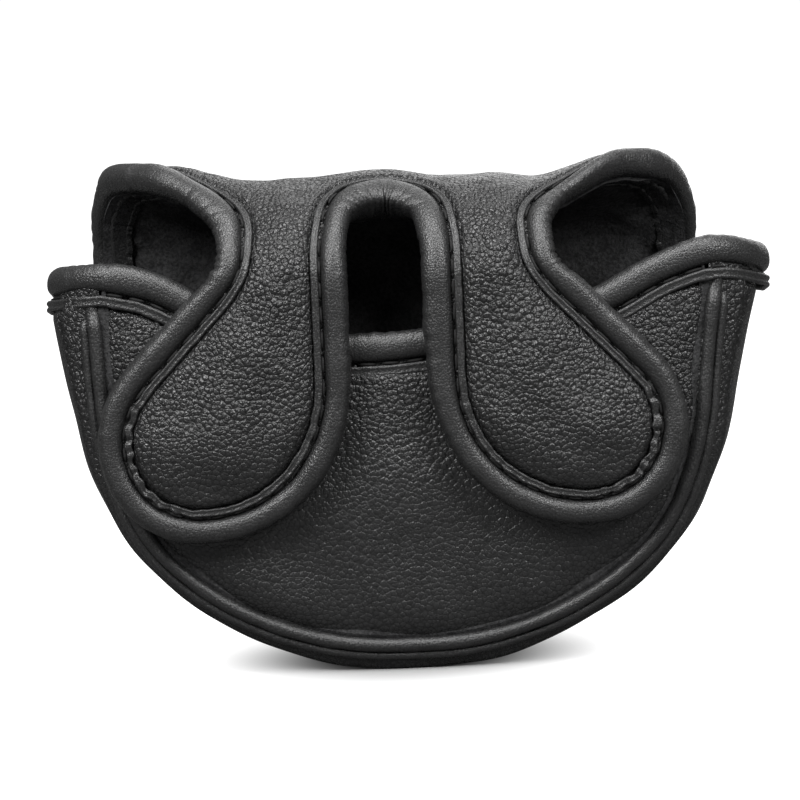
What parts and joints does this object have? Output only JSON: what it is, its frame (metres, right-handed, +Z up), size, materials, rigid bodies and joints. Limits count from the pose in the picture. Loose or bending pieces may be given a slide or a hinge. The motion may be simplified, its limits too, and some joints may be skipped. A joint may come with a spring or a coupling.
{
  "type": "putter head cover",
  "caption": "Padded leather cover for a mallet putter head: a D-shaped lined pouch with a hood and paired magnetic flaps beside a shaft slot.",
  "frame": {"origin": "under the middle of the closed cover, on the surface that it stands on", "axes": "+X across the cover to the viewer's right of its front, +Y from the flaps to the back panel, +Z up through the hood"},
  "size_m": [0.1416, 0.0483, 0.0995],
  "materials": {
    "pebbled_leather": "black pebbled grain, satin",
    "smooth_leather": "black fine grain, satin",
    "foam": "soft grey foam",
    "plush_lining": "charcoal short pile",
    "cord": "twisted filler cord",
    "magnet": "nickel plated",
    "thread": "black bonded thread"
  },
  "bodies": {
    "pouch": {"front_panel_leather": "pebbled_leather", "front_panel_foam": "foam", "front_panel_lining": "plush_lining", "back_panel_leather": "pebbled_leather", "back_panel_foam": "foam", "back_panel_lining": "plush_lining", "gusset_leather": "pebbled_leather", "gusset_foam": "foam", "gusset_lining": "plush_lining", "front_piping_cover": "smooth_leather", "front_piping_cord": "cord", "back_piping_cover": "smooth_leather", "back_piping_cord": "cord", "mouth_binding_cover": "smooth_leather", "mouth_binding_core": "foam", "mouth_stitching": "thread", "pouch_left_magnet": "magnet", "pouch_right_magnet": "magnet"},
    "hood": {"hood_leather": "pebbled_leather", "hood_foam": "foam", "hood_lining": "plush_lining", "hood_left_binding_cover": "smooth_leather", "hood_left_binding_core": "foam", "hood_right_binding_cover": "smooth_leather", "hood_right_binding_core": "foam", "slot_binding_cover": "smooth_leather", "slot_binding_core": "foam"},
    "left_flap": {"left_flap_leather": "pebbled_leather", "left_flap_foam": "foam", "left_flap_lining": "plush_lining", "left_flap_binding_cover": "smooth_leather", "left_flap_binding_core": "foam", "left_flap_magnet": "magnet", "left_flap_stitching": "thread"},
    "right_flap": {"right_flap_leather": "pebbled_leather", "right_flap_foam": "foam", "right_flap_lining": "plush_lining", "right_flap_binding_cover": "smooth_leather", "right_flap_binding_core": "foam", "right_flap_magnet": "magnet", "right_flap_stitching": "thread"}
  },
  "joints": [
    {"name": "hood_hinge", "type": "hinge", "parent": "pouch", "child": "hood", "pos_m": [0, 0.024, 0.0755], "axis": [-1, 0, 0], "range_deg": [0, 60], "stiffness_Nm_per_rad": 0.03},
    {"name": "left_flap_hinge", "type": "hinge", "parent": "hood", "child": "left_flap", "pos_m": [-0.021, -0.024, 0.083], "axis": [-1, 0, 0], "range_deg": [0, 120], "stiffness_Nm_per_rad": 0.01},
    {"name": "right_flap_hinge", "type": "hinge", "parent": "hood", "child": "right_flap", "pos_m": [0.021, -0.024, 0.083], "axis": [-1, 0, 0], "range_deg": [0, 120], "stiffness_Nm_per_rad": 0.01}
  ]
}
